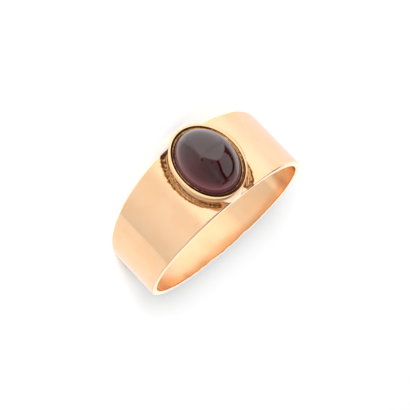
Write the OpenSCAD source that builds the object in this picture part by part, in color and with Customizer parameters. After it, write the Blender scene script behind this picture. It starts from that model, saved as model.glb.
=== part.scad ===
// Tapered gold band ring with an oval cabochon in a soldered collar bezel.
// Millimetres. The origin is the centre of the finger hole. The ring lies on its side:
// its lower edge is level, +X points towards the stone and +Z up.

/* [Band] */
// Inside diameter of the finger hole
hole_d = 17.8; // [15:0.1:21]
// Thickness of the band's metal
band_t = 0.6; // [0.45:0.05:1]
// Width of the band under the stone, measured along the finger
band_w_top = 8.2; // [7.8:0.1:9]
// Width of the band at the back of the finger
band_w_back = 3.6; // [2.8:0.1:5]

/* [Stone] */
// Length of the stone, along the finger
stone_len = 7.1; // [6.6:0.1:7.2]
// Width of the stone, across the finger
stone_w = 5.45; // [4.8:0.05:5.8]
// Height of the stone's upright girdle, below its dome
girdle_h = 0.9; // [0.5:0.05:1.2]

/* [Bezel] */
// Height of the bezel's rim above the band, at the band's crown
bezel_h = 1.8; // [1.5:0.1:2.4]
// Thickness of the bright outer collar
collar_t = 0.2; // [0.15:0.01:0.3]
// Width of the groove between the collar and the lip
moat_w = 0.1; // [0.06:0.01:0.16]
// Depth of that groove
moat_d = 0.35; // [0.2:0.05:0.6]
// Thickness of the inner lip at the stone's long sides
lip_side_t = 0.18; // [0.14:0.01:0.3]
// Thickness of the inner lip at the stone's ends
lip_end_t = 0.27; // [0.2:0.01:0.36]
// How far the lip stands below the collar's rim
lip_drop = 0.12; // [0.05:0.01:0.25]
// Height of the collar's rim above the foot of the stone's dome
rim_over_dome = 0.3; // [0.15:0.05:0.5]
// Width of the ledge that carries the stone
ledge_w = 0.35; // [0.25:0.05:0.6]
// Clear gap between the stone and the metal
stone_gap = 0.03; // [0.02:0.01:0.06]

/* [Solder seam] */
// Width of the recess round the bezel's foot
seam_w = 0.5; // [0.4:0.05:0.7]
// Depth of that recess, cut into the band
seam_d = 0.2; // [0.1:0.02:0.24]
// Width of the bead of solder left standing in the recess
bead_w = 0.18; // [0.1:0.02:0.24]
// Height of that bead above the floor of the recess
bead_h = 0.12; // [0.06:0.02:0.14]

/* [Hidden] */
$fn = 128;

// Flats in a full turn of an oval, and so of the stone's dome
OVAL_SIDES = 64;
// Length by which a cutting shape runs past what it cuts
PAST = 2;

hole_r = hole_d / 2;
band_r = hole_r + band_t;

// The band's edges are two flat cuts that slope by this angle to either side
edge_mid = (band_w_top + band_w_back) / 4;
edge_slope = (band_w_top - band_w_back) / 4 / band_r;
lean = atan(edge_slope);

// Heights along the stone's axis, from the centre of the finger hole
rim_x = band_r + bezel_h;
lip_x = rim_x - lip_drop;
dome_x = rim_x - rim_over_dome;
stone_base_x = dome_x - girdle_h;
ledge_x = stone_base_x - stone_gap;

// Plan sizes of the nested ovals, [length along the finger, width across it]
stone_plan = [stone_len, stone_w];
seat_plan = grow(stone_plan, stone_gap);
cavity_plan = grow(seat_plan, -ledge_w);
lip_plan = seat_plan + 2 * [lip_end_t, lip_side_t];
moat_plan = grow(lip_plan, moat_w);
bezel_plan = grow(moat_plan, collar_t);
seam_plan = grow(bezel_plan, seam_w);
bead_out_plan = grow(bezel_plan, (seam_w + bead_w) / 2);
bead_in_plan = grow(bezel_plan, (seam_w - bead_w) / 2);

// Lowest place where the bezel's wall still meets the band's crown
foot_x = sqrt(pow(hole_r, 2) - pow(seam_plan[1] / 2, 2)) - band_t;

function grow(plan, by) = [plan[0] + 2 * by, plan[1] + 2 * by];

// Corners of an oval from its plan size, long along Y
function oval_points(plan) = [
    for (i = [0 : OVAL_SIDES - 1])
        let (turn = 360 * i / OVAL_SIDES)
            [plan[1] / 2 * cos(turn), plan[0] / 2 * sin(turn)]
];

// Upright oval block along the stone's axis, from one height to another
module oval_block(plan, from_x, to_x) {
    translate([from_x, 0, 0])
        rotate([90, 0, 90])
            linear_extrude(to_x - from_x) polygon(oval_points(plan));
}

// Cylinder along the finger, longer than the band is wide
module finger_cylinder(r) {
    cylinder(r = r, h = 2 * band_w_top, center = true);
}

// Everything between the two sloping cuts that make the band's edges
module between_edges() {
    back_x = -band_r - PAST;
    front_x = rim_x + PAST;
    back_half = edge_mid + edge_slope * back_x;
    front_half = edge_mid + edge_slope * front_x;
    rotate([90, 0, 0])
        linear_extrude(2 * band_r + PAST, center = true)
            polygon([
                [back_x, -back_half], [front_x, -front_half],
                [front_x, front_half], [back_x, back_half]
            ]);
}

// Recess round the bezel's foot, down to its own floor in the band
module seam_recess() {
    difference() {
        oval_block(seam_plan, foot_x, rim_x);
        oval_block(bezel_plan, foot_x - PAST, rim_x + PAST);
        finger_cylinder(band_r - seam_d);
    }
}

// Bead of solder that stands in the recess
module solder_bead() {
    intersection() {
        difference() {
            oval_block(bead_out_plan, foot_x, rim_x);
            oval_block(bead_in_plan, foot_x - PAST, rim_x + PAST);
        }
        finger_cylinder(band_r - seam_d + bead_h);
    }
}

// Collar and lip on one wall, open in the middle down to the band
module bezel() {
    difference() {
        oval_block(bezel_plan, foot_x, rim_x);
        oval_block(cavity_plan, foot_x - PAST, rim_x + PAST);
        oval_block(seat_plan, ledge_x, rim_x + PAST);
        oval_block(moat_plan, rim_x - moat_d, rim_x + PAST);
    }
    difference() {
        oval_block(lip_plan, rim_x - moat_d, lip_x);
        oval_block(seat_plan, ledge_x, rim_x);
    }
}

// The soldered gold work as one piece: band, bezel and seam
module band_with_bezel() {
    color([0.93, 0.72, 0.47])
        rotate([0, -lean, 0])
            difference() {
                intersection() {
                    union() {
                        difference() {
                            finger_cylinder(band_r);
                            seam_recess();
                        }
                        solder_bead();
                        bezel();
                    }
                    between_edges();
                }
                finger_cylinder(hole_r);
            }
}

// Half of a body turned about the stone's long axis
module dome() {
    quarter = OVAL_SIDES / 4;
    corners = oval_points(stone_plan);
    half_outline = [for (i = [-quarter : quarter]) corners[(i + OVAL_SIDES) % OVAL_SIDES]];
    intersection() {
        rotate_extrude() polygon(half_outline);
        translate([0, -stone_w, -stone_len]) cube([stone_w, 2 * stone_w, 2 * stone_len]);
    }
}

// The stone: a domed top over an upright girdle with a flat base
module cabochon() {
    color([0.28, 0.05, 0.09])
        rotate([0, -lean, 0]) {
            translate([dome_x, 0, 0]) dome();
            oval_block(stone_plan, stone_base_x, dome_x);
        }
}

band_with_bezel();
cabochon();
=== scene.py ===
"""Looks of a tapered gold band ring with an oval cabochon in a soldered collar bezel."""

import logging
import math
from dataclasses import dataclass
from enum import Enum
from typing import Callable, Iterable, NamedTuple, Optional, Sequence, Union

import bmesh
import bpy
import numpy as np
from mathutils import Euler, Matrix, Vector, noise


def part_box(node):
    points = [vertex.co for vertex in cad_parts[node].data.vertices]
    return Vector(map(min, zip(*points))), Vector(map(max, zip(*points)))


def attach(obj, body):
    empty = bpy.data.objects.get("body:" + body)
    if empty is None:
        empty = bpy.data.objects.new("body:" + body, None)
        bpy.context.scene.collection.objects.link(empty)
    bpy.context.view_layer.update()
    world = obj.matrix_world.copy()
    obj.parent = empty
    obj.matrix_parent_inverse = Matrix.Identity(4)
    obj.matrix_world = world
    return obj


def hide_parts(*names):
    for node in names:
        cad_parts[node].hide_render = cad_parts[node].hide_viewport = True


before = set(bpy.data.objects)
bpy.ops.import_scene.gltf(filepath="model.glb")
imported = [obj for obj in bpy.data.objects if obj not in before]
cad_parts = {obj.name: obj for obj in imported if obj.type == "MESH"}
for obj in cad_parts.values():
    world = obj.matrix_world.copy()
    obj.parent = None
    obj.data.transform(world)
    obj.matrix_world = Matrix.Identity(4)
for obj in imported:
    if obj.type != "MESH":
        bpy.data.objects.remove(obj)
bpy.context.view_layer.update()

log = logging.getLogger("ring")

MM = 0.001
TAU = 2 * math.pi
DEGREES = 180.0 / math.pi


class Piece(Enum):
    """The pieces of the ring, by the name that each object gets."""

    BAND = "band"
    BEZEL = "collar_bezel"
    BEAD = "solder_bead"
    STONE = "cabochon_stone"


class Slot(Enum):
    """The record's material slots."""

    GOLD = "gold"
    GARNET = "garnet"


def operator(operation: str, swapped: bool = False) -> Callable[["Term", "Value"], "Term"]:
    """Makes an arithmetic operator of a term out of a Math node.

    Args:
        operation: The node's operation.
        swapped: Whether the term stands on the right.

    Returns:
        The operator, as a method.
    """
    def apply(term: "Term", other: "Value") -> "Term":
        """Adds the node and gives its result."""
        return term.graph.maths(operation, *((other, term) if swapped else (term, other)))
    return apply


class Term:
    """A value in a node tree that ordinary arithmetic works on."""

    def __init__(self, graph: "Graph", socket: bpy.types.NodeSocket) -> None:
        """Keeps the tree and the socket that gives the value."""
        self.graph = graph
        self.socket = socket

    def __abs__(self) -> "Term":
        """The value without its sign."""
        return self.graph.maths("ABSOLUTE", self)

    __add__ = operator("ADD")
    __radd__ = operator("ADD", True)
    __sub__ = operator("SUBTRACT")
    __rsub__ = operator("SUBTRACT", True)
    __mul__ = operator("MULTIPLY")
    __rmul__ = operator("MULTIPLY", True)
    __truediv__ = operator("DIVIDE")


Value = Union[float, Term]


def live(sockets: Iterable[bpy.types.NodeSocket], name: Optional[str] = None) -> bpy.types.NodeSocket:
    """Finds the first socket that is in use, by its name if one is given."""
    return next(socket for socket in sockets if socket.enabled and name in (None, socket.name))


class Graph:
    """Adds nodes to a shader or geometry tree, so that its rules read like ordinary sums."""

    def __init__(self, tree: bpy.types.NodeTree) -> None:
        """Keeps the tree that nodes go into."""
        self.tree = tree

    def add(self, kind: str, inputs: Optional[dict] = None, **settings: object) -> bpy.types.Node:
        """Adds one node.

        Args:
            kind: The node's type name in Blender.
            inputs: Values or terms by input name or number.
            settings: The node's own properties.

        Returns:
            The new node.
        """
        node = self.tree.nodes.new(kind)
        for name, value in settings.items():
            setattr(node, name, value)
        for key, value in (inputs or {}).items():
            self.feed(node.inputs[key], value)
        return node

    def feed(self, socket: bpy.types.NodeSocket, value: object) -> None:
        """Links a term or a socket to an input, or sets a plain value on it.

        Args:
            socket: The input.
            value: The term, the socket or the plain value.
        """
        if isinstance(value, Term):
            value = value.socket
        if isinstance(value, bpy.types.NodeSocket):
            self.tree.links.new(value, socket)
        else:
            socket.default_value = value

    def maths(self, operation: str, *values: Value) -> Term:
        """Adds one Math node and returns its result."""
        node = self.add("ShaderNodeMath", dict(enumerate(values)), operation=operation)
        return Term(self, node.outputs[0])

    def circle(self, turn: Term) -> tuple[Term, Term]:
        """Takes the cosine and the sine of an angle."""
        return self.maths("COSINE", turn), self.maths("SINE", turn)

    def within(self, value: Term, limit: Term) -> Term:
        """Keeps a value between a limit and the same limit below zero."""
        return self.maths("MAXIMUM", self.maths("MINIMUM", value, limit), limit * -1.0)

    def between(self, value: Value, start: float, end: float, low: Value = 0.0, high: Value = 1.0,
                smooth: bool = True) -> Term:
        """Goes from low to high as a value goes from start to end, and stays level outside.

        Args:
            value: What is measured.
            start: Where the rise starts.
            end: Where the rise ends.
            low: The result before the start.
            high: The result after the end.
            smooth: Whether the rise eases in and out.

        Returns:
            The result as a term.
        """
        kind = "SMOOTHSTEP" if smooth else "LINEAR"
        inputs = {"Value": value, "From Min": start, "From Max": end, "To Min": low, "To Max": high}
        return Term(self, self.add("ShaderNodeMapRange", inputs, interpolation_type=kind).outputs[0])

    def vector(self, x: Value, y: Value, z: Value) -> Term:
        """Puts three values together as a vector."""
        return Term(self, self.add("ShaderNodeCombineXYZ", {0: x, 1: y, 2: z}).outputs[0])

    def parts(self, vector: object) -> tuple[Term, Term, Term]:
        """Takes a vector apart into its three values."""
        node = self.add("ShaderNodeSeparateXYZ", {0: vector})
        return tuple(Term(self, output) for output in node.outputs)

    def upright(self, vector: object, lean: float) -> tuple[Term, Term, Term]:
        """Turns a vector of the row's frame to the ring's own frame and takes it apart."""
        turned = self.add("ShaderNodeMapping", {"Vector": vector, "Rotation": (0.0, lean, 0.0)})
        return self.parts(turned.outputs[0])

    def grain(self, place: object, scale: float, detail: float = 2.0, rough: float = 0.5) -> Term:
        """Adds a noise pattern.

        Args:
            place: Where the noise is read, a vector.
            scale: Patches per unit of length.
            detail: Number of finer layers.
            rough: Strength of the finer layers.

        Returns:
            The noise, about 0.5 on average.
        """
        inputs = {"Vector": place, "Scale": scale, "Detail": detail, "Roughness": rough}
        return Term(self, self.add("ShaderNodeTexNoise", inputs).outputs[0])

    def blend(self, share: Value, first: object, second: object) -> bpy.types.NodeSocket:
        """Mixes two colours.

        Args:
            share: Share of the second colour, from 0 to 1.
            first: The first colour, plain or a socket.
            second: The second colour, plain or a socket.

        Returns:
            The mixed colour.
        """
        node = self.add("ShaderNodeMix", {0: share}, data_type="RGBA")
        colours = [socket for socket in node.inputs if socket.type == "RGBA"]
        for socket, colour in zip(colours, (first, second)):
            self.feed(socket, colour)
        return next(socket for socket in node.outputs if socket.type == "RGBA")


@dataclass(frozen=True)
class RingMeasures:
    """Sizes of the ring in millimetres, in its own frame.

    The origin is the centre of the finger hole, X points at the stone, Z runs along the finger, and the
    ring leans onto its lower edge by the slope of that edge.
    """

    band_r: float
    stone_half_w: float
    floor_z: float
    band_t: float = 0.6
    edge_mid: float = 2.95
    edge_slope: float = 0.12105
    bezel_h: float = 1.8
    stone_half_l: float = 3.55
    girdle_h: float = 0.9
    rim_over_dome: float = 0.3
    stone_gap: float = 0.03
    lip_side_t: float = 0.18
    lip_end_t: float = 0.27
    lip_drop: float = 0.12
    moat_w: float = 0.10
    moat_d: float = 0.35
    collar_t: float = 0.20
    ledge_w: float = 0.35
    wall_taper: float = 0.30

    @classmethod
    def from_frame(cls) -> "RingMeasures":
        """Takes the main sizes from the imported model.

        Returns:
            The ring's sizes.
        """
        band_low, band_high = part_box("band_with_bezel")
        stone_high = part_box("cabochon")[1]
        return cls(band_r=band_high.y / MM, stone_half_w=stone_high.y / MM, floor_z=band_low.z / MM)

    @property
    def hole_r(self) -> float:
        """Radius of the finger hole."""
        return self.band_r - self.band_t

    @property
    def lean(self) -> float:
        """Angle between the finger's axis and upright, in radians."""
        return math.atan(self.edge_slope)

    @property
    def rim_x(self) -> float:
        """Height of the bezel's rim."""
        return self.band_r + self.bezel_h

    @property
    def dome_x(self) -> float:
        """Height of the foot of the stone's dome."""
        return self.rim_x - self.rim_over_dome

    @property
    def bezel_half_w(self) -> float:
        """Half width of the bezel, across the finger."""
        return self.stone_half_w + self.stone_gap + self.lip_side_t + self.moat_w + self.collar_t

    @property
    def bezel_half_l(self) -> float:
        """Half length of the bezel, along the finger."""
        return self.stone_half_l + self.stone_gap + self.lip_end_t + self.moat_w + self.collar_t

    def edge_z(self, x: Union[np.ndarray, Term]) -> Union[np.ndarray, Term]:
        """Height of the upper edge's plane at a place along X."""
        return self.edge_mid + self.edge_slope * x

    def to_row(self) -> Matrix:
        """Turn from the ring's own frame, in millimetres, to the row's, in metres."""
        return Matrix.Scale(MM, 4) @ Matrix.Rotation(-self.lean, 4, "Y")


def new_material(name: str, values: dict) -> tuple[bpy.types.Material, Graph, bpy.types.NodeInputs]:
    """Starts a material.

    Args:
        name: The material's name.
        values: Plain values, by the shader's input.

    Returns:
        The material, its tree and its shader's inputs.
    """
    material = bpy.data.materials.new(name)
    material.use_nodes = True
    shader = material.node_tree.nodes["Principled BSDF"]
    for key, value in values.items():
        shader.inputs[key].default_value = value
    return material, Graph(material.node_tree), shader.inputs


@dataclass(frozen=True)
class GoldFinish:
    """Polished rose-yellow gold with fine scratches and brown tarnish in its recesses, with painted shade in
    its groove and along its recess.

    Scales are patches per metre, and names that end in _at say over which values a change runs.
    """

    colour: tuple = (0.98, 0.645, 0.395, 1.0)
    mottle: tuple = (0.97, 0.62, 0.36, 1.0)
    tarnish: tuple = (0.60, 0.32, 0.125, 1.0)
    soot: tuple = (0.14, 0.056, 0.026, 1.0)
    rough: float = 0.09
    rough_spread: float = 0.05
    tarnish_rough: float = 0.42
    patch_scale: float = 420.0
    mottle_at: tuple = (0.42, 0.62)
    polish_at: tuple = (0.3, 0.7)
    streak_scale: float = 5200.0
    streaks_at: tuple = (0.40, 0.66)
    streak_strength: float = 0.6
    stain_at: tuple = (0.12, 0.66)
    soot_at: tuple = (0.80, 1.14)
    scratch_turns: tuple = ((0.3, 0.5, 0.2), (1.1, -0.4, 1.9))
    scratch_scale: float = 900.0
    scratch_stretch: tuple = (1.0, 14.0, 14.0)
    scratch_depth: float = 0.0000012

    def make(self) -> bpy.types.Material:
        """Builds the gold's material.

        Returns:
            The material, which reads the mesh's attribute of tarnish and painted shade.
        """
        material, graph, shader = new_material("rose_gold", {"Metallic": 1.0})
        place = graph.add("ShaderNodeTexCoord").outputs["Object"]
        tarnish = Term(graph, graph.add("ShaderNodeAttribute", attribute_name="tarnish").outputs["Fac"])
        patches = graph.grain(place, self.patch_scale, detail=3.0)
        streaks = graph.grain(place, self.streak_scale, detail=3.0, rough=0.65)
        clean = graph.blend(graph.between(patches, *self.mottle_at), self.colour, self.mottle)
        uneven = (streaks - 0.5) * graph.between(tarnish, *self.streaks_at, 0.0, self.streak_strength)
        # Painted shade: the attribute also holds painted shade in the bezel's groove, along the recess and
        # inside the band, so this mask browns it like tarnish and its deepest values turn dark brown.
        stain = graph.between(tarnish + uneven, *self.stain_at)
        deep = graph.between(tarnish + uneven, *self.soot_at)
        browned = graph.blend(stain, clean, self.tarnish)
        graph.feed(shader["Base Color"], graph.blend(deep, browned, self.soot))
        polish = graph.between(patches, *self.polish_at, self.rough, self.rough + self.rough_spread)
        graph.feed(shader["Roughness"], graph.between(stain, 0.0, 1.0, polish, self.tarnish_rough))
        graph.feed(shader["Normal"], self.scratches(graph, place))
        return material

    def scratches(self, graph: Graph, place: bpy.types.NodeSocket) -> bpy.types.NodeSocket:
        """Adds fine handling scratches in two directions.

        Args:
            graph: The material's tree.
            place: Object coordinates.

        Returns:
            The bumped normal.
        """
        layers = []
        for turn in self.scratch_turns:
            inputs = {"Vector": place, "Rotation": turn, "Scale": self.scratch_stretch}
            drawn = graph.add("ShaderNodeMapping", inputs).outputs[0]
            layers.append(graph.grain(drawn, self.scratch_scale, detail=4.0, rough=0.7))
        inputs = {"Height": layers[0] + layers[1], "Strength": 1.0, "Distance": self.scratch_depth}
        return graph.add("ShaderNodeBump", inputs).outputs[0]


@dataclass(frozen=True)
class GarnetFinish:
    """Very dark red stone, polished, with painted light: a redder glow towards its rim, a lighter flank
    towards +Y and a pale highlight ring near the dome's foot.

    Heights are millimetres above the foot of the dome, and y is millimetres across the finger.
    """

    body: tuple = (0.0095, 0.0006, 0.0006, 1.0)
    cloud: tuple = (0.0175, 0.0010, 0.0012, 1.0)
    cloud_scale: float = 650.0
    cloud_at: tuple = (0.35, 0.7)
    flank: tuple = (0.027, 0.0022, 0.003, 1.0)
    flank_from_y: tuple = (0.9, 2.4)
    rim: tuple = (0.086, 0.014, 0.018, 1.0)
    glow_mm: tuple = (1.65, 0.5)
    edge: tuple = (0.070, 0.040, 0.044, 1.0)
    edge_from_mm: tuple = (0.58, 0.68)
    edge_to_mm: tuple = (0.86, 0.72)
    sheen: float = 0.06
    sheen_tint: tuple = (1.0, 0.72, 0.76, 1.0)
    rough: float = 0.05
    ior: float = 1.77
    shine: float = 0.5
    dull: float = 0.29
    dull_from_y: tuple = (0.72, 1.05)

    def make(self, measures: RingMeasures) -> bpy.types.Material:
        """Builds the stone's material.

        Args:
            measures: Sizes that say where the stone's rim is.

        Returns:
            The material.
        """
        material, graph, shader = new_material("dark_garnet", {
            "Roughness": self.rough, "IOR": self.ior,
            "Sheen Weight": self.sheen, "Sheen Tint": self.sheen_tint})
        place = graph.add("ShaderNodeTexCoord").outputs["Object"]
        clouds = graph.grain(place, self.cloud_scale, detail=4.0, rough=0.6)
        body = graph.blend(graph.between(clouds, *self.cloud_at), self.body, self.cloud)
        x, y, _ = graph.upright(place, measures.lean)
        above, across = x / MM - measures.dome_x, y / MM
        gloss = graph.between(across, *self.dull_from_y, self.shine, self.dull)
        graph.feed(shader["Specular IOR Level"], gloss)
        # Painted light: the stone's flank towards +Y is painted lighter.
        flank = graph.blend(graph.between(across, *self.flank_from_y), body, self.flank)
        # Painted glow: redder towards the dome's foot, standing in for light that passes through the stone.
        reddened = graph.blend(graph.between(above, *self.glow_mm), flank, self.rim)
        # Painted highlight: a pale ring near the dome's foot, in place of a bright reflection at the stone's
        # edge.
        painted_edge_highlight = graph.between(above, *self.edge_from_mm) * graph.between(above, *self.edge_to_mm)
        graph.feed(shader["Base Color"], graph.blend(painted_edge_highlight, reddened, self.edge))
        return material


@dataclass(frozen=True)
class FloorFinish:
    """Plain white table top."""

    colour: tuple = (0.86, 0.86, 0.86, 1.0)
    rough: float = 0.9

    def make(self) -> bpy.types.Material:
        """Builds the floor's material."""
        values = {"Base Color": self.colour, "Roughness": self.rough, "Specular IOR Level": 0.0}
        return new_material("white_table", values)[0]


def finish_piece(piece: bpy.types.Object, node: str) -> None:
    """Hands a piece to the frame: it rides on the ring, and the CAD node that it stands for is hidden.

    Args:
        piece: The piece, a plain mesh at the origin.
        node: The CAD node that it stands for.
    """
    work = bmesh.new()
    work.from_mesh(piece.data)
    bmesh.ops.recalc_face_normals(work, faces=work.faces)
    work.to_mesh(piece.data)
    work.free()
    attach(piece, "root")
    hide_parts(node)
    log.info("%s: %d faces", piece.name, len(piece.data.polygons))


def new_object(name: str, data: bpy.types.ID) -> bpy.types.Object:
    """Makes an object and links it to the scene.

    Args:
        name: The object's name.
        data: Its mesh, light or camera.

    Returns:
        The object.
    """
    made = bpy.data.objects.new(name, data)
    bpy.context.scene.collection.objects.link(made)
    return made


def mesh_object(name: str, points: np.ndarray, faces: Sequence[Sequence[int]]) -> bpy.types.Object:
    """Makes an object from points and faces.

    Args:
        name: The object's name.
        points: Rows of x, y and z.
        faces: Corner numbers of each face.

    Returns:
        The object, linked to the scene.
    """
    mesh = bpy.data.meshes.new(name)
    mesh.from_pydata(points.tolist(), [], faces)
    mesh.update()
    return new_object(name, mesh)


def smooth_step(value: Union[float, np.ndarray], start: float, end: float) -> Union[float, np.ndarray]:
    """Eases from 0 to 1 as a value goes from start to end."""
    share = np.clip((value - start) / (end - start), 0.0, 1.0)
    return share * share * (3.0 - 2.0 * share)


def bell(value: float, half_width: float) -> float:
    """Falls from 1 at zero to almost nothing on both sides."""
    return math.exp(-(value / half_width) ** 2)


def layered(spot: Vector, layers: Sequence[tuple[float, float]]) -> float:
    """Adds up layers of noise at a spot, each given by its scale and its strength."""
    return sum(strength * noise.noise(spot * scale) for scale, strength in layers)


class RecessSide(NamedTuple):
    """One side of the recess: its width, the change of its width and of its tarnish along the finger, the
    half width that it leaves free at the bezel's near end, and where it runs out towards the near edge."""

    width: float
    tilt: float
    far_darker: float
    near_darker: float
    near_half: tuple[float, float]
    end: tuple[float, float]


class DarkLine(NamedTuple):
    """A painted shade line along the recess: its place, its half width and its strength."""

    place: float
    half_width: float
    strength: float

    def at(self, distance: float) -> float:
        """Painted shade of the line at a distance from where its place is measured."""
        return self.strength * bell(distance - self.place, self.half_width)


@dataclass
class Recess:
    """The rough, tarnished recess round the bezel's foot, with painted shade lines along its edges, in
    millimetres.

    Left is the side towards +Y. Its reach is how far from the bezel's wall it is looked for, inwards and
    outwards, and its layers are pairs of a noise's scale and strength.
    """

    measures: RingMeasures
    left: RecessSide = RecessSide(0.64, -0.085, -0.15, 0.0, (1.0, 1.5), (3.55, 3.9))
    right: RecessSide = RecessSide(0.74, 0.045, -0.11, 0.09, (1.2, 1.6), (3.95, 4.35))
    reach: tuple = (-0.4, 1.46)
    ragged: float = 0.09
    ragged_layers: tuple = ((1.7, 1.0), (5.3, 0.6))
    depth: float = 0.17
    bank: float = 0.10
    pitting: float = 0.05
    pit_layers: tuple = ((7.0, 1.0), (15.0, 0.5))
    end_layers: tuple = ((2.0, 0.3),)
    tarnish: float = 0.55
    tarnish_layers: tuple = ((4.1, 0.44),)
    outer_line: DarkLine = DarkLine(0.07, 0.055, 0.55)
    foot_line: DarkLine = DarkLine(0.04, 0.08, 0.5)
    darkest: float = 1.2

    def distance(self, y: np.ndarray, z: np.ndarray) -> np.ndarray:
        """Distance outside the bezel's wall, seen along the stone's axis.

        Args:
            y: Places across the finger.
            z: Places along the finger.

        Returns:
            Distances, below zero under the bezel.
        """
        half_w, half_l = self.measures.bezel_half_w - self.measures.wall_taper, self.measures.bezel_half_l
        tiny = 1e-6
        share = np.sqrt((y / half_w) ** 2 + (z / half_l) ** 2) + tiny
        steep = np.sqrt((y / half_w**2) ** 2 + (z / half_l**2) ** 2) / share + tiny
        return (share - 1.0) / steep

    def cut(self, points: np.ndarray) -> tuple[np.ndarray, np.ndarray]:
        """Works out how deep the recess is and how dark: tarnish, with painted shade lines at its outer edge
        and at the bezel's foot.

        Args:
            points: Rows of x, y and z on the band's outer wall.

        Returns:
            Depths in millimetres and tarnish from 0 up, for each point.
        """
        distances = self.distance(points[:, 1], points[:, 2])
        near = (points[:, 0] > 0.0) & (distances > self.reach[0]) & (distances < self.reach[1])
        depth = np.zeros(len(points))
        tarnish = np.zeros(len(points))
        for index in np.nonzero(near)[0]:
            spot, distance = Vector(points[index]), distances[index]
            side = self.left if spot.y > 0 else self.right
            outer = self.ragged * layered(spot, self.ragged_layers) + side.width
            outer += spot.z * side.tilt
            inside = smooth_step(outer - distance, 0.0, self.bank)
            fade = 1.0 - smooth_step(spot.z + layered(spot, self.end_layers), *side.end)
            if spot.z > 0:
                fade *= smooth_step(abs(spot.y), *side.near_half)
            depth[index] = inside * (self.depth + self.pitting * layered(spot, self.pit_layers)) * fade
            base = self.tarnish + side.far_darker * min(spot.z, 0.0) + side.near_darker * max(spot.z, 0.0)
            # Painted shade: a dark line at the bezel's foot and one at the recess's outer edge, on top of
            # the tarnish.
            dirt_and_shade = inside * (base + layered(spot, self.tarnish_layers) + self.foot_line.at(distance))
            tarnish[index] = fade * (dirt_and_shade + self.outer_line.at(outer - distance))
        return depth, np.clip(tarnish, 0.0, self.darkest)


@dataclass(frozen=True)
class Mark:
    """A small dent, scuff or stain on the band's wall, or painted shade on its inner wall, in millimetres
    and degrees round the finger.

    Its width is measured along the wall, at the wall's radius.
    """

    round_deg: float
    z: float
    half_width: float
    half_height: float
    depth: float
    tarnish: float
    inner: bool = False
    wall_r: float = 9.5

    def shape(self, theta: np.ndarray, z: np.ndarray) -> np.ndarray:
        """Strength of the mark, 1 at its middle.

        Args:
            theta: Angles round the finger, in radians.
            z: Places along the finger.

        Returns:
            Shares from 0 to 1.
        """
        turned = (theta - math.radians(self.round_deg) + math.pi) % TAU - math.pi
        across = turned * self.wall_r / self.half_width
        return np.exp(-across ** 2 - ((z - self.z) / self.half_height) ** 2)


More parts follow.
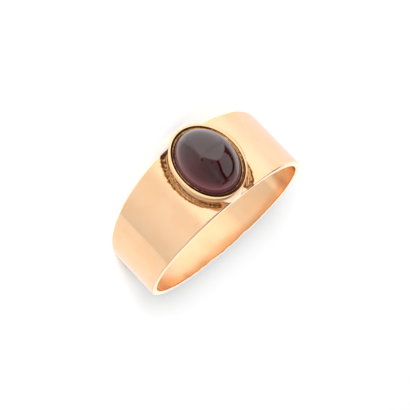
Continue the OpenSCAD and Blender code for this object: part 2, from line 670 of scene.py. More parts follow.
@dataclass
class Band:
    """The tapered band: a tube between two sloping cuts, with worn edges and painted shade on its inner
    wall.

    Shares outward run from 0 on the inner wall to 1 on the outer one.
    """

    measures: RingMeasures
    columns: int = 400
    crowding: float = 0.78
    outer_rows: int = 150
    inner_rows: int = 30
    corner_rows: int = 5
    corner_r: float = 0.12
    inner_corner_r: float = 0.045
    recess_stops: tuple = (0.96, 0.995)
    recess_outward: tuple = (0.2, 0.9)
    outside: tuple = (0.1, 0.9)
    inside: tuple = (0.0, 0.3)
    wobble: float = 0.012
    wobble_scale: float = 0.45
    wobble_inward: float = 0.6
    edge_wear: float = 0.024
    wear_shares: tuple = (0.8, 1.0)
    wear_front: float = 0.35
    wear_back: float = 2.6
    wear_even: float = 0.8
    wear_waves: tuple = ((7.0, 1.0, 1.0), (17.0, 3.0, 0.9))
    inner_stain: float = 0.17
    marks: tuple = (
        # The first six marks are painted shade on the inner wall, one with a minus value making it lighter;
        # the last four are dents and scuffs.
        Mark(141.0, 0.0, 3.0, 9.0, 0.0, 0.13, True),
        Mark(125.0, 0.0, 1.7, 9.0, 0.0, 0.22, True),
        Mark(219.0, 0.0, 3.4, 9.0, 0.0, 0.08, True),
        Mark(250.0, 0.0, 1.0, 9.0, 0.0, 0.27, True),
        Mark(285.0, 0.0, 2.0, 9.0, 0.0, -0.14, True),
        Mark(212.0, 1.85, 5.5, 0.42, 0.0, 0.17, True),
        Mark(-31.5, 3.66, 0.36, 0.06, 0.008, 0.6),
        Mark(51.0, -3.3, 0.07, 0.07, 0.03, 0.5),
        Mark(26.5, 3.35, 0.3, 0.05, 0.012, 0.25),
        Mark(92.0, -2.4, 0.12, 0.07, 0.03, 0.45),
    )

    def angles(self) -> np.ndarray:
        """Angles round the finger, crowded together near the stone."""
        share = np.linspace(-1.0, 1.0, self.columns, endpoint=False)
        return math.pi * share - self.crowding * np.sin(math.pi * share)

    def stations(self) -> np.ndarray:
        """Places round the band's cross-section, from outer wall to inner wall and back.

        Returns:
            Rows of radius, drop below the edge's plane, and share of the way from edge to edge.
        """
        outer_r, inner_r = self.measures.band_r, self.measures.hole_r
        corner, small = self.corner_r, self.inner_corner_r
        turn = np.linspace(0.0, math.pi / 2, self.corner_rows + 1)
        upper = [(outer_r - corner * (1 - math.cos(a)), corner * (1 - math.sin(a))) for a in turn]
        upper += [((outer_r + inner_r) / 2, 0.0)]
        upper += [(inner_r + small * (1 - math.sin(a)), small * (1 - math.cos(a))) for a in turn]
        outer_wall = np.linspace(-1.0, 1.0, self.outer_rows)[1:-1]
        inner_wall = np.linspace(1.0, -1.0, self.inner_rows)[1:-1]
        rows = [(outer_r, corner, share) for share in outer_wall]
        rows += [(r, drop, 1.0) for r, drop in upper]
        rows += [(inner_r, small, share) for share in inner_wall]
        rows += [(r, drop, -1.0) for r, drop in reversed(upper)]
        return np.array(rows)

    def surface(self) -> tuple[np.ndarray, np.ndarray]:
        """Places every point of the band and says how dark it is: tarnish, with painted shade along the
        recess and on the inner wall.

        Returns:
            Points in the ring's frame and tarnish with painted shade, from 0 up.
        """
        measures = self.measures
        stations = self.stations()
        theta, r = np.meshgrid(self.angles(), stations[:, 0], indexing="ij")
        drop = np.broadcast_to(stations[:, 1], r.shape)
        share = np.broadcast_to(stations[:, 2], r.shape)
        edge = measures.edge_z(r * np.cos(theta)) - drop
        flat = np.stack([r * np.cos(theta), r * np.sin(theta), share * edge], -1).reshape(-1, 3)
        outward = ((r - measures.hole_r) / measures.band_t).ravel()
        theta, share = theta.ravel(), share.ravel()
        depth, tarnish = Recess(measures).cut(flat)
        depth = depth * (1.0 - smooth_step(np.abs(share), *self.recess_stops))
        outside, inside = smooth_step(outward, *self.outside), 1.0 - smooth_step(outward, *self.inside)
        tarnish = tarnish * outside + self.inner_stain * inside
        for mark in self.marks:
            shape = mark.shape(theta, flat[:, 2]) * (inside if mark.inner else outside)
            depth = depth + mark.depth * shape
            tarnish = tarnish + mark.tarnish * shape
        waves = np.array([noise.noise(Vector(point) * self.wobble_scale) for point in flat])
        bulge = waves * self.wobble - self.wobble * self.wobble_inward
        new_r = r.ravel() - depth * smooth_step(outward, *self.recess_outward) + bulge
        z = flat[:, 2] + self.wear(theta, share)
        return np.stack([new_r * np.cos(theta), new_r * np.sin(theta), z], -1), tarnish

    def wear(self, theta: np.ndarray, share: np.ndarray) -> np.ndarray:
        """Small dings along both edges, deepest at the back of the finger.

        Args:
            theta: Angles round the finger.
            share: Shares of the way from edge to edge.

        Returns:
            How far each point moves along the finger, always into the band.
        """
        back = 0.5 - 0.5 * np.cos(theta)
        side = np.sign(share)
        waves = self.wear_even
        for scale, side_scale, strength in self.wear_waves:
            waves = waves + strength * np.array([
                noise.noise(Vector((math.cos(a) * scale, math.sin(a) * scale, s * side_scale)))
                for a, s in zip(theta, side)])
        size = self.edge_wear * (self.wear_front + self.wear_back * back ** 3)
        return -side * smooth_step(np.abs(share), *self.wear_shares) * size * waves

    def build(self, gold: bpy.types.Material) -> bpy.types.Object:
        """Makes the band's mesh.

        Args:
            gold: The gold's material.

        Returns:
            The band as an object.
        """
        points, tarnish = self.surface()
        rows = len(self.stations())
        faces = []
        for column in range(self.columns):
            here, there = column * rows, (column + 1) % self.columns * rows
            for row in range(rows):
                after = (row + 1) % rows
                faces.append((here + row, there + row, there + after, here + after))
        piece = mesh_object(Piece.BAND.value, points, faces)
        piece.data.transform(self.measures.to_row())
        layer = piece.data.attributes.new("tarnish", "FLOAT", "POINT")
        layer.data.foreach_set("value", tarnish.astype(np.float32))
        piece.data.shade_smooth()
        piece.data.materials.append(gold)
        return piece


class NodeRecipe:
    """A Geometry Nodes tree with named inputs that shapes one piece, then becomes a plain mesh."""

    def __init__(self, name: str) -> None:
        """Starts an empty tree.

        Args:
            name: Name of the tree.
        """
        self.tree = bpy.data.node_groups.new(name, "GeometryNodeTree")
        for way in ("INPUT", "OUTPUT"):
            self.tree.interface.new_socket("Geometry", in_out=way, socket_type="NodeSocketGeometry")
        self.graph = Graph(self.tree)
        self.group_input = self.graph.add("NodeGroupInput")
        self.values: dict[str, float] = {}

    @property
    def base(self) -> bpy.types.NodeSocket:
        """The geometry that the tree starts from."""
        return self.group_input.outputs[0]

    def position(self) -> bpy.types.NodeSocket:
        """Each point's place."""
        return self.graph.add("GeometryNodeInputPosition").outputs[0]

    def size(self, name: str, value: Union[int, float]) -> Term:
        """Adds a named input.

        Args:
            name: What the input is called.
            value: What it is set to on the modifier.

        Returns:
            The input as a term.
        """
        kind = "NodeSocketInt" if isinstance(value, int) else "NodeSocketFloat"
        socket = self.tree.interface.new_socket(name, in_out="INPUT", socket_type=kind)
        self.values[socket.identifier] = value
        found = next(output for output in self.group_input.outputs if output.identifier == socket.identifier)
        return Term(self.graph, found)

    def sheet(self, across: Value, along: Value) -> tuple[object, Term, Term]:
        """Adds a grid to be bent into shape.

        Args:
            across: Number of points across.
            along: Number of points along.

        Returns:
            The grid, and each point's share of the way across and along.
        """
        inputs = {"Size X": 1.0, "Size Y": 1.0, "Vertices X": across, "Vertices Y": along}
        grid = self.graph.add("GeometryNodeMeshGrid", inputs)
        x, y, _ = self.graph.parts(self.position())
        return grid.outputs[0], x + 0.5, y + 0.5

    def place(self, geometry: object, x: Value, y: Value, z: Value) -> bpy.types.NodeSocket:
        """Moves every point to the place that a rule gives."""
        inputs = {"Geometry": geometry, "Position": self.graph.vector(x, y, z)}
        return self.graph.add("GeometryNodeSetPosition", inputs).outputs[0]

    def merge(self, geometry: object, distance: float = 0.0004) -> bpy.types.NodeSocket:
        """Closes seams and poles."""
        inputs = {"Geometry": geometry, "Distance": distance}
        return self.graph.add("GeometryNodeMergeByDistance", inputs).outputs[0]

    def store(self, geometry: object, name: str, value: Value) -> bpy.types.NodeSocket:
        """Writes a value to each point's attribute.

        Args:
            geometry: The points.
            name: The attribute's name.
            value: What is written.

        Returns:
            The same geometry with the attribute.
        """
        node = self.graph.add("GeometryNodeStoreNamedAttribute", {"Geometry": geometry, "Name": name},
                              data_type="FLOAT", domain="POINT")
        self.graph.feed(live(node.inputs, "Value"), value)
        return node.outputs[0]

    def noted(self, name: str) -> bpy.types.NodeSocket:
        """Reads a point's attribute."""
        node = self.graph.add("GeometryNodeInputNamedAttribute", {"Name": name}, data_type="FLOAT")
        return live(node.outputs)

    def carve(self, piece: Piece, geometry: object, material: bpy.types.Material,
              measures: RingMeasures, base: Optional[bpy.types.Mesh] = None) -> bpy.types.Object:
        """Ends the tree, runs it, and keeps its result as a plain mesh.

        Args:
            piece: Which piece this is.
            geometry: The tree's last result, in the ring's frame and in millimetres.
            material: The finish.
            measures: Sizes that hold the turn to the row's frame.
            base: A mesh for the tree to start from.

        Returns:
            The finished object, with no modifier.
        """
        last = geometry
        for kind, inputs in (
                ("GeometryNodeTransform", {"Rotation": Euler((0.0, -measures.lean, 0.0)),
                                           "Scale": (MM, MM, MM)}),
                ("GeometryNodeSetShadeSmooth", {}),
                ("GeometryNodeRealizeInstances", {}),
                ("GeometryNodeSetMaterial", {"Material": material})):
            last = self.graph.add(kind, {"Geometry": last, **inputs}).outputs[0]
        self.graph.add("NodeGroupOutput", {0: last})
        draft = new_object(piece.value + "_draft", base or bpy.data.meshes.new("start"))
        modifier = draft.modifiers.new("shape", "NODES")
        modifier.node_group = self.tree
        for identifier, value in self.values.items():
            modifier[identifier] = value
        depsgraph = bpy.context.evaluated_depsgraph_get()
        mesh = bpy.data.meshes.new_from_object(draft.evaluated_get(depsgraph))
        draft.modifiers.clear()
        bpy.data.objects.remove(draft)
        mesh.name = piece.value
        return new_object(piece.value, mesh)


class WallPoint(NamedTuple):
    """A corner of the bezel's wall: millimetres in from its outer face, height above the finger's axis,
    tarnish with painted shade, share of the lip's extra thickness at the ends, share that follows the band,
    share that rises where the groove is shallow, share of the bevel that stands out beside the stone, and
    share that moves out where the groove is wide."""

    inset: float
    height: float
    tarnish: float
    end_share: float = 0.0
    foot: float = 0.0
    shallow: float = 0.0
    flare: float = 0.0
    widen: float = 0.0


@dataclass
class CollarBezel:
    """The oval collar with its crest, groove and inner lip, on one wall.

    Near is the end towards +Z, and left is the side towards +Y. The sizes called beside are the cosines
    of the turn round the stone between which its ends give way to its sides. Painted shade makes the
    groove black and the lip's tarnish darker on the left, at the near end and at both ends than on the
    sides.
    """

    measures: RingMeasures
    turns: int = 320
    rise_rows: int = 26
    bevel_rows: int = 8
    bevel_turn: tuple = (0.15, 1.35)
    sink: float = 0.35
    sunk_taper: float = 1.13
    crest_r: float = 0.05
    crest_ease: float = 0.3
    lip_chamfer: float = 0.04
    lip_round_w: tuple = (0.09, 0.02)
    lip_round_d: float = 0.12
    corner: float = 0.03
    bevel: float = 0.21
    near_flare: float = 0.55
    near_tuck: float = 0.12
    near_groove: float = 0.10
    shallow_side: float = 0.25
    flush: float = 0.012
    wave: float = 0.014
    wave_scale: float = 2.4
    wave_along: float = 0.25
    beside: tuple = (0.5, 0.72)
    dark_ends: float = 1.36
    dark_side: float = 0.28
    dark_near: float = 0.12
    clean_sides: float = 0.54
    mottle: float = 1.1
    speck_scale: float = 11.0
    speck_along: float = 2.0
    patchy_from: tuple = (0.45, 0.7)
    wall_stain: tuple = (0.30, 0.37)
    foot_stain: float = 1.0
    foot_climb: tuple = (0.05, 0.18)
    # Painted shade: the darkening set in the groove and on the hidden ledge under the stone.
    black: float = 1.2

    def wall(self) -> list[WallPoint]:
        """Lists the corners of the wall's cross-section.

        Returns:
            The corners, up the outer face and down the inner one.
        """
        m = self.measures
        rim, soft, ease, black = m.rim_x, self.crest_r, self.corner, self.black
        lip = rim - m.lip_drop
        moat = rim - m.moat_d
        groove = m.collar_t + m.moat_w
        seat = groove + m.lip_side_t
        ledge = m.dome_x - m.girdle_h - m.stone_gap
        bore = seat + m.ledge_w
        foot = m.band_r - self.sink
        bevel_x = rim - self.bevel
        eased = self.crest_ease * soft
        round_start, round_end = self.lip_round_w
        rise = [WallPoint(0.0, foot + (bevel_x - foot) * share, self.rise_stain(share), foot=1.0 - share,
                          flare=share) for share in np.linspace(0.0, 1.0, self.rise_rows)]
        rise += [WallPoint(0.0, bevel_x + self.bevel * math.sin(turn), self.wall_stain[1],
                           flare=math.cos(turn)) for turn in np.linspace(*self.bevel_turn, self.bevel_rows)]
        # Darkening of the crest and lip: the lip's is tarnish, while the crest's inner corner, the groove
        # and the hidden ledge and bore are painted shade.
        crest = [
            WallPoint(soft, rim, 0.2),
            WallPoint(m.collar_t - soft, rim, 0.05, widen=1.0),
            WallPoint(m.collar_t - eased, rim - eased, 0.3, widen=1.0),
            WallPoint(m.collar_t, rim - soft, 0.8, widen=1.0),
            WallPoint(m.collar_t, moat + ease, black, shallow=1.0, widen=1.0),
            WallPoint(m.collar_t + ease, moat, black, shallow=1.0, widen=1.0),
            WallPoint(groove - ease, moat, black, shallow=1.0),
            WallPoint(groove, moat + ease, black, shallow=1.0),
            WallPoint(groove, lip - self.lip_chamfer, 1.05),
            WallPoint(groove + ease, lip, 0.88),
            WallPoint(seat - round_start, lip, 0.72, end_share=0.75),
            WallPoint(seat - round_end, lip - self.lip_chamfer, 0.92, end_share=1.0),
            WallPoint(seat, lip - self.lip_round_d, 1.0, end_share=1.0),
            WallPoint(seat, ledge, black, end_share=1.0),
            WallPoint(bore, ledge, black, end_share=1.0),
            WallPoint(bore, foot, black, end_share=1.0, foot=1.0),
        ]
        return rise + crest

    def rise_stain(self, share: float) -> float:
        """Darkening of the wall's outer face, at a share of the way from its foot to its bevel: tarnish,
        with painted shade at the foot.
        """
        start, end = self.wall_stain
        # Painted shade: darkest at the foot, where the wall meets the recess.
        return max(self.foot_stain * (1.0 - smooth_step(share, *self.foot_climb)),
                   start + (end - start) * share)

    def build(self, gold: bpy.types.Material) -> bpy.types.Object:
        """Sweeps the wall round the stone by Geometry Nodes.

        Args:
            gold: The gold's material.

        Returns:
            The bezel as an object.
        """
        m = self.measures
        recipe = NodeRecipe("sweep_wall_round_oval")
        graph = recipe.graph
        half_w = recipe.size("Half width", m.bezel_half_w)
        half_l = recipe.size("Half length", m.bezel_half_l)
        extra = recipe.size("Extra lip at the ends", m.lip_end_t - m.lip_side_t)
        band_r = recipe.size("Band radius", m.band_r)
        edge_mid = recipe.size("Band's edge at the middle", m.edge_mid)
        slope = recipe.size("Slope of that edge", m.edge_slope)
        turns = recipe.size("Turns", self.turns + 1)
        wave = recipe.size("Wave of the rim", self.wave)
        taper = recipe.size("Taper of the wall", m.wall_taper * self.sunk_taper)
        bevel = recipe.size("Bevel beside the stone", self.bevel)
        near_flare = recipe.size("Extra bevel at its near left", self.near_flare)
        near_tuck = recipe.size("Tuck of the wall's near foot", self.near_tuck)
        near_groove = recipe.size("Extra width of the groove at its near end", self.near_groove)
        shallow_side = recipe.size("Rise of the groove on its shallow side", self.shallow_side)
        wall = self.wall()
        corners = float(len(wall))
        grid, around, along = recipe.sheet(turns, len(wall) + 1)
        index = graph.maths("MODULO", graph.maths("ROUND", along * corners), corners)
        inset, height, _ = graph.parts(self.pick(recipe, "FLOAT_VECTOR", recipe.position(), index))
        stain, end_share, foot, shallow, flare, widen = (
            self.pick(recipe, "FLOAT", recipe.noted(name), index) for name in WallPoint._fields[2:])
        cosine, sine = graph.circle(around * TAU)
        near, left = (graph.maths("MAXIMUM", value, 0.0) for value in (sine, cosine))
        beside = graph.between(abs(cosine), *self.beside)
        # Painted shade: darker towards the left, the near end and both ends, lighter on the sides; the
        # specks are random mottling.
        sides = cosine * self.dark_side - graph.maths("POWER", cosine * cosine, 2.0) * self.clean_sides
        spot = graph.vector(cosine * self.speck_scale, sine * self.speck_scale, inset * self.speck_along)
        specks = (graph.grain(spot, 1.0, detail=3.0, rough=0.6) - 0.5) * self.mottle
        uneven = self.dark_ends - 1.0 + sine * self.dark_near + sides + specks
        dirt_and_shade = stain * (1.0 + uneven * graph.between(stain, *self.patchy_from))
        noted = recipe.store(grid, "tarnish", dirt_and_shade * (1.0 - foot * (1.0 - beside)))
        flared = near * left * near_flare
        stand = flare * (abs(cosine) * bevel + flared)
        tuck = foot * near * left * near_tuck - widen * near * near_groove
        y = (half_w - inset - taper * foot + stand - tuck) * cosine
        z = (half_l - inset - extra * end_share - tuck + flare * flared) * sine
        fall = band_r - graph.maths("SQRT", band_r * band_r - y * y)
        spot = graph.vector(cosine * self.wave_scale, sine * self.wave_scale, height * self.wave_along)
        beat = (graph.grain(spot, 1.0) - 0.5) * wave
        x = height - fall * foot + beat + shallow * (0.5 - cosine * 0.5) * shallow_side
        kept = graph.within(z, edge_mid + slope * x - self.flush)
        shape = recipe.merge(recipe.place(noted, x, y, kept))
        return recipe.carve(Piece.BEZEL, shape, gold, m, self.section(wall))

    def section(self, wall: Sequence[WallPoint]) -> bpy.types.Mesh:
        """Holds the wall's corners as the points of a mesh, for the tree to read.

        Args:
            wall: The corners.

        Returns:
            A mesh of points with the other columns as attributes.
        """
        mesh = bpy.data.meshes.new("wall_section")
        mesh.from_pydata([(corner.inset, corner.height, 0.0) for corner in wall], [], [])
        for name in WallPoint._fields[2:]:
            layer = mesh.attributes.new(name, "FLOAT", "POINT")
            layer.data.foreach_set("value", [getattr(corner, name) for corner in wall])
        return mesh

    def pick(self, recipe: NodeRecipe, kind: str, column: bpy.types.NodeSocket, index: Term) -> Term:
        """Reads a column of the section at a corner's number.

        Args:
            recipe: The tree.
            kind: The column's data type.
            column: The column.
            index: The corner's number.

        Returns:
            The value there.
        """
        node = recipe.graph.add("GeometryNodeSampleIndex", {"Geometry": recipe.base, "Index": index},
                                data_type=kind, domain="POINT")
        recipe.graph.feed(live(node.inputs, "Value"), column)
        return Term(recipe.graph, live(node.outputs))


@dataclass
class SolderBead:
    """The lumpy bead of solder that runs in the recess, along both sides of the bezel.

    Swell is what the noise is multiplied by, and what is added to it, to give the bead's thickness.
    """

    measures: RingMeasures
    offset: float = 0.32
    thick: float = 0.10
    sink: float = 0.17
    turns: int = 420
    sides: int = 10
    lumps: int = 320
    lump_r: float = 0.055
    lump_sizes: tuple = (0.45, 1.2)
    lump_spread: tuple = (2.6, 0.5)
    lump_rolls: float = 37.0
    seed: int = 7
    rough_scale: float = 14.0
    rough_along: float = 0.4
    swell: tuple = (2.6, -0.45)
    sway: float = 0.30
    sway_scale: float = 5.0
    sway_start: float = 3.0
    beside: tuple = (0.40, 0.62)
    end_drop: float = 0.3
    edge_gap: float = 0.15
    stain: float = 0.42
    far_stain: float = 0.66
    stain_from: tuple = (-2.4, 0.0)

    def build(self, gold: bpy.types.Material) -> bpy.types.Object:
        """Runs the bead along its oval path by Geometry Nodes and scatters lumps on it.

        Args:
            gold: The gold's material.

        Returns:
            The bead as an object.
        """
        m = self.measures
        recipe = NodeRecipe("solder_along_oval")
        graph = recipe.graph
        path = (recipe.size("Half width", m.bezel_half_w - m.wall_taper + self.offset),
                recipe.size("Half length", m.bezel_half_l + self.offset),
                recipe.size("Radius of the bed", m.band_r - self.sink))
        thick = recipe.size("Thickness", self.thick)
        turns = recipe.size("Turns", self.turns + 1)
        sides = recipe.size("Sides", self.sides + 1)
        lumps = recipe.size("Lumps", self.lumps)
        lump_r = recipe.size("Lump radius", self.lump_r)
        seed = recipe.size("Seed", self.seed)
        grid, around, along = recipe.sheet(turns, sides)
        bead = self.along_path(recipe, grid, around * TAU, along * TAU, (thick, thick), path)
        line = graph.add("GeometryNodeMeshLine", {"Count": lumps, "Offset": (1.0, 0.0, 0.0)}).outputs[0]
        number = Term(graph, graph.add("GeometryNodeInputIndex").outputs[0])
        turn = number / lumps * TAU
        spread = tuple(thick * share for share in self.lump_spread)
        spots = self.along_path(recipe, line, turn, turn * self.lump_rolls, spread, path)
        size = graph.add("FunctionNodeRandomValue", {"Seed": seed}, data_type="FLOAT")
        for name, value in zip(("Min", "Max"), self.lump_sizes):
            live(size.inputs, name).default_value = value
        ball = graph.add("GeometryNodeMeshIcoSphere", {"Radius": lump_r, "Subdivisions": 2}).outputs[0]
        inputs = {"Points": spots, "Instance": ball, "Scale": live(size.outputs)}
        grains = graph.add("GeometryNodeInstanceOnPoints", inputs).outputs[0]
        both = graph.add("GeometryNodeJoinGeometry")
        for geometry in (recipe.merge(bead), grains):
            graph.feed(both.inputs[0], geometry)
        z = graph.parts(recipe.position())[2]
        stain = graph.between(z, *self.stain_from, self.far_stain, self.stain)
        return recipe.carve(Piece.BEAD, recipe.store(both.outputs[0], "tarnish", stain), gold, m)

    def along_path(self, recipe: NodeRecipe, geometry: object, turn: Term, roll: Term,
                   thick: tuple[Term, Term], path: tuple[Term, Term, Term]) -> bpy.types.NodeSocket:
        """Places points round the bead's path.

        Args:
            recipe: The tree.
            geometry: The points to place.
            turn: Angle round the stone.
            roll: Angle round the bead.
            thick: Distances from the path, sideways and upwards.
            path: The path's half width and half length, and the radius of the recess's floor.

        Returns:
            The placed geometry.
        """
        graph = recipe.graph
        half_w, half_l, bed_r = path
        cosine, sine = graph.circle(turn)
        roll_cosine, roll_sine = graph.circle(roll)
        spot = graph.vector(cosine * self.rough_scale, sine * self.rough_scale, roll * self.rough_along)
        rough = graph.grain(spot, 1.0, detail=3.0, rough=0.65)
        taper = graph.between(abs(cosine), *self.beside)
        swell = (rough * self.swell[0] + self.swell[1]) * taper
        spot = graph.vector(cosine * self.sway_scale, sine * self.sway_scale, self.sway_start)
        sway = (graph.grain(spot, 1.0, detail=3.0) - 0.5) * self.sway
        out = thick[0] * swell * roll_cosine + sway
        y = (half_w + out) * cosine
        z = (half_l + out) * sine
        drop = (1.0 - taper) * self.end_drop
        x = graph.maths("SQRT", bed_r * bed_r - y * y) + thick[1] * swell * roll_sine - drop
        return recipe.place(geometry, x, y, graph.within(z, self.measures.edge_z(x) - self.edge_gap))


@dataclass
class Cabochon:
    """The stone: a high dome over an upright girdle with a flat base."""

    measures: RingMeasures
    turns: int = 256
    rings: int = 120
    dome_share: float = 0.76
    girdle_share: float = 0.86

    def build(self, garnet: bpy.types.Material) -> bpy.types.Object:
        """Bends a grid into the stone by Geometry Nodes.

        Args:
            garnet: The stone's material.

        Returns:
            The stone as an object.
        """
        m = self.measures
        recipe = NodeRecipe("dome_over_girdle")
        graph = recipe.graph
        half_w = recipe.size("Half width", m.stone_half_w)
        half_l = recipe.size("Half length", m.stone_half_l)
        foot = recipe.size("Foot of the dome", m.dome_x)
        girdle = recipe.size("Girdle height", m.girdle_h)
        turns = recipe.size("Turns", self.turns + 1)
        rings = recipe.size("Rings", self.rings + 1)
        grid, around, along = recipe.sheet(turns, rings)
        cosine, sine = graph.circle(around * TAU)
        climb = graph.between(along, 0.0, self.dome_share, smooth=False) * (TAU / 4)
        climb_cosine, climb_sine = graph.circle(climb)
        fall = graph.between(along, self.dome_share, self.girdle_share, smooth=False)
        inward = graph.between(along, self.girdle_share, 1.0, smooth=False)
        reach = climb_sine * (1.0 - inward)
        x = foot + half_w * climb_cosine - girdle * fall
        shape = recipe.merge(recipe.place(grid, x, half_w * reach * cosine, half_l * reach * sine))
        return recipe.carve(Piece.STONE, shape, garnet, m)


class ToneStep(NamedTuple):
    """A change of brightness in the surroundings, between two bearings round the ring, in degrees."""

    start: float
    end: float
    change: float


class Bearing(NamedTuple):
    """A direction out from the ring: degrees round from the stone, and degrees up."""

    round_deg: float
    up_deg: float

    def direction(self) -> Vector:
        """The bearing as a vector of length one."""
        a, e = math.radians(self.round_deg), math.radians(self.up_deg)
        return Vector((math.cos(a) * math.cos(e), math.sin(a) * math.cos(e), math.sin(e)))


@dataclass(frozen=True)
class Card:
    """A flat white or grey card of the light tent, seen from the ring as a patch of brightness."""

    corners: tuple
    level: float
    soft: float = 0.02

    def mask(self, graph: Graph, direction: object) -> Term:
        """Says how much of a direction the card fills.

        Args:
            graph: The World's tree.
            direction: The direction looked in.

        Returns:
            1 on the card, 0 off it.
        """
        directions = [Bearing(*corner).direction() for corner in self.corners]
        middle = sum(directions, Vector()).normalized()
        depth = None
        for first, second in zip(directions, directions[1:] + directions[:1]):
            edge = first.cross(second).normalized()
            if edge.dot(middle) < 0:
                edge.negate()
            node = graph.add("ShaderNodeVectorMath", {0: direction, 1: edge}, operation="DOT_PRODUCT")
            inside = Term(graph, node.outputs["Value"])
            depth = inside if depth is None else graph.maths("MINIMUM", depth, inside)
        return graph.between(depth, -self.soft, self.soft)


@dataclass
class Studio:
    """Floor, light tent, key light and camera, in millimetres and degrees."""

    measures: RingMeasures
    floor_half: float = 1500.0
    camera_distance: float = 300.0
    above_axis_deg: float = 16.74
    round_axis_deg: float = 16.2
    roll_deg: float = 46.18
    shift_right: float = -0.142
    shift_up: float = 0.304
    lens: float = 271.68
    sensor: float = 36.0
    clip: tuple = (10.0, 20000.0)
    back_level: float = 1.0
    fill_level: float = 0.745
    key_power: float = 10.8
    key_up_deg: float = 16.0
    key_round_deg: float = -6.0
    key_size: float = 260.0
    key_distance: float = 700.0
    tent_colour: tuple = (1.0, 1.0, 1.0, 1.0)
    tent_start: float = 1.0
    tent_steps: tuple = (
        ToneStep(-150.0, -95.0, 0.12),
        ToneStep(-92.0, -72.0, 0.20),
        ToneStep(-20.0, 6.0, 0.02),
        ToneStep(26.0, 36.0, -0.35),
        ToneStep(50.0, 99.3, -0.16),
        ToneStep(94.0, 98.0, -0.05),
        ToneStep(99.3, 101.3, 0.22),
        ToneStep(105.0, 135.0, 0.07),
    )
    belt_low: tuple = (-20.6, -18.6)
    belt_high: tuple = (-12.4, -14.4)
    ahead: tuple = (12.0, 33.0)
    room_levels: tuple = (0.40, 0.72)
    low_level: float = 1.3
    low_rise: tuple = (-45.0, 5.0)
    behind: tuple = (110.0, 140.0)
    behind_levels: tuple = (1.0, 1.6)
    behind_fall: tuple = (-22.0, -42.0)
    sky_dim: float = 0.64
    sky_from: tuple = (45.0, 62.0)
    cloth_scale: float = 2.6
    mottle: float = 0.5
    cool_colour: tuple = (0.99, 1.0, 1.07, 1.0)
    cool_from: tuple = (-55.0, -75.0)
    cool_to: tuple = (-175.0, -150.0)
    cards: tuple = (
        Card(((-15.5, 15), (5, 54), (153, 84), (-97, 61), (-97, 31), (-99, 14), (-94, 3), (-90, -9),
              (-72, -15)), 0.0),
        Card(((-70, 62), (-98, 60), (-99.4, 31), (-99.2, 14), (-95.3, 3), (-91, -9), (-70, -9)), 0.0),
        Card(((-25, 18), (-13, 56), (-44, 77), (-77, 63), (-85, 40), (-85.5, 23.5), (-80.5, 12),
              (-66, 5)), 0.93, 0.025),
        Card(((110, 67.5), (-42, 79), (-125, 76), (131, 66)), 0.0, 0.03),
        Card(((-178, -12), (-178, 6), (-150, 6), (-150, -12)), 1.25, 0.06),
        Card(((27, -9), (20, -5.5), (24.5, -0.5), (32, -2)), 0.15, 0.03),
        Card(((9.5, 16), (1, 16), (0.5, 20.5), (8.5, 21)), 0.15, 0.03),
        Card(((-104, -14), (-105, 14), (-108, 28), (-140, 24), (-146, 8), (-142, -14)), 1.42, 0.06),
        Card(((21.5, -70), (21.5, -28.5), (18, -11), (5, 6), (-17, 21), (-64, 10.5), (-80, -4.5),
              (-125, -25.5), (-140, -62), (-60, -80)), 1.46, 0.03),
    )

    def build(self) -> None:
        """Sets up everything round the ring."""
        self.build_floor()
        self.build_tent()
        self.build_key()
        self.build_camera()
        settings = bpy.context.scene.view_settings
        settings.view_transform = "Standard"
        settings.look = "None"

    def build_floor(self) -> None:
        """Lays a white table under the ring, which the ring's own reflections pass through."""
        half, level = self.floor_half, self.measures.floor_z
        corners = [(x * half, y * half, level) for x, y in ((-1, -1), (1, -1), (1, 1), (-1, 1))]
        floor = mesh_object("floor", np.array(corners) * MM, [(0, 1, 2, 3)])
        floor.data.materials.append(FloorFinish().make())
        floor.visible_glossy = False

    def build_tent(self) -> None:
        """Makes the World a light tent: soft cards for reflections, even white for the rest."""
        world = bpy.data.worlds.new("light_tent")
        world.use_nodes = True
        bpy.context.scene.world = world
        graph = Graph(world.node_tree)
        background = world.node_tree.nodes["Background"].inputs
        direction = graph.add("ShaderNodeTexCoord").outputs["Generated"]
        path = graph.add("ShaderNodeLightPath").outputs
        mirrored = Term(graph, path["Is Glossy Ray"])
        direct = Term(graph, path["Is Camera Ray"])
        tent, cool = self.tent(graph, direction)
        graph.feed(background["Color"], graph.blend(cool * mirrored, self.tent_colour, self.cool_colour))
        plain = direct * self.back_level + (1.0 - direct) * self.fill_level
        graph.feed(background["Strength"], mirrored * tent + (1.0 - mirrored) * plain)

    def tent(self, graph: Graph, direction: bpy.types.NodeSocket) -> tuple[Term, Term]:
        """Brightness and coolness of the tent in each direction.

        Args:
            graph: The World's tree.
            direction: The direction looked in, in the row's frame.

        Returns:
            The brightness, and 1 where the light is cool.
        """
        x, y, z = graph.upright(direction, self.measures.lean)
        bearing = graph.maths("ARCTAN2", y, x) * DEGREES
        height = graph.maths("ARCSINE", z) * DEGREES
        sweep = self.tent_start
        for step in self.tent_steps:
            sweep = sweep + graph.between(bearing, step.start, step.end) * step.change
        belt = graph.between(height, *self.belt_low) * graph.between(height, *self.belt_high)
        cloth = 1.0 + (graph.grain(direction, self.cloth_scale) - 0.5) * self.mottle
        room = graph.between(abs(bearing), *self.ahead, *self.room_levels)
        away = graph.between(height, *self.low_rise, self.low_level, room) * cloth
        astern = graph.between(height, *self.behind_fall, *self.behind_levels)
        away = away + (astern - away) * graph.between(abs(bearing), *self.behind)
        away = away * graph.between(height, *self.sky_from, 1.0, self.sky_dim)
        level = away + (sweep - away) * belt
        for card in self.cards:
            level = level + (card.level - level) * card.mask(graph, direction) * (1.0 - belt)
        cool = graph.between(bearing, *self.cool_from) * graph.between(bearing, *self.cool_to)
        return level, cool * belt

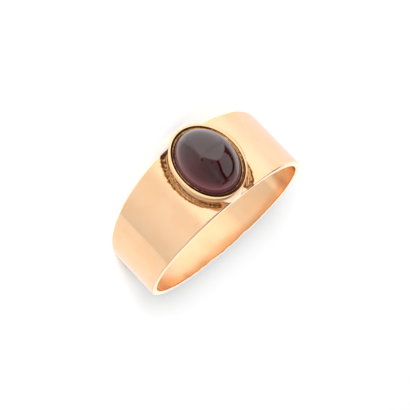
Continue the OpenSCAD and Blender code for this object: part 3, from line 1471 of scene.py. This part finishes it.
    def build_key(self) -> None:
        """Puts a large soft light low behind the camera, for the shadow on the table alone."""
        light = bpy.data.lights.new("key", "AREA")
        light.shape = "DISK"
        light.size = self.key_size * MM
        light.energy = self.key_power
        key = new_object("key", light)
        aim = Bearing(self.round_axis_deg + self.key_round_deg, self.key_up_deg).direction()
        key.location = aim * self.key_distance * MM
        key.rotation_mode = "QUATERNION"
        key.rotation_quaternion = aim.to_track_quat("Z", "Y")
        key.visible_camera = False
        key.visible_glossy = False

    def view_axes(self) -> tuple[Vector, Vector, Vector]:
        """Works out how the camera is turned.

        Returns:
            Its right, up and backward directions, in the row's frame.
        """
        back = Bearing(self.round_axis_deg, self.above_axis_deg).direction()
        e, a, roll = (math.radians(v) for v in (self.above_axis_deg, self.round_axis_deg, self.roll_deg))
        across = Vector((math.sin(a), -math.cos(a), 0.0))
        down = Vector((-math.sin(e) * math.cos(a), -math.sin(e) * math.sin(a), math.cos(e)))
        right = math.sin(roll) * across + math.cos(roll) * down
        up = math.cos(roll) * across - math.sin(roll) * down
        turn = Matrix.Rotation(-self.measures.lean, 3, "Y")
        return turn @ right, turn @ up, turn @ back

    def build_camera(self) -> None:
        """Puts the camera where the photograph was taken from."""
        right, up, back = self.view_axes()
        place = back * self.camera_distance + right * self.shift_right + up * self.shift_up
        camera = new_object("camera", bpy.data.cameras.new("camera"))
        camera.data.lens = self.lens
        camera.data.sensor_width = self.sensor
        camera.data.clip_start, camera.data.clip_end = (distance * MM for distance in self.clip)
        axes = Matrix((right, up, back)).transposed()
        camera.matrix_world = Matrix.Translation(place * MM) @ axes.to_4x4()
        bpy.context.scene.camera = camera


def main() -> None:
    """Builds the ring's pieces, dresses them and sets up the studio."""
    logging.basicConfig(level=logging.INFO, format="%(name)s: %(message)s")
    measures = RingMeasures.from_frame()
    gold = GoldFinish().make()
    garnet = GarnetFinish().make(measures)
    for maker in (Band, CollarBezel, SolderBead):
        finish_piece(maker(measures).build(gold), "band_with_bezel")
    finish_piece(Cabochon(measures).build(garnet), "cabochon")
    Studio(measures).build()


if __name__ == "__main__":
    main()
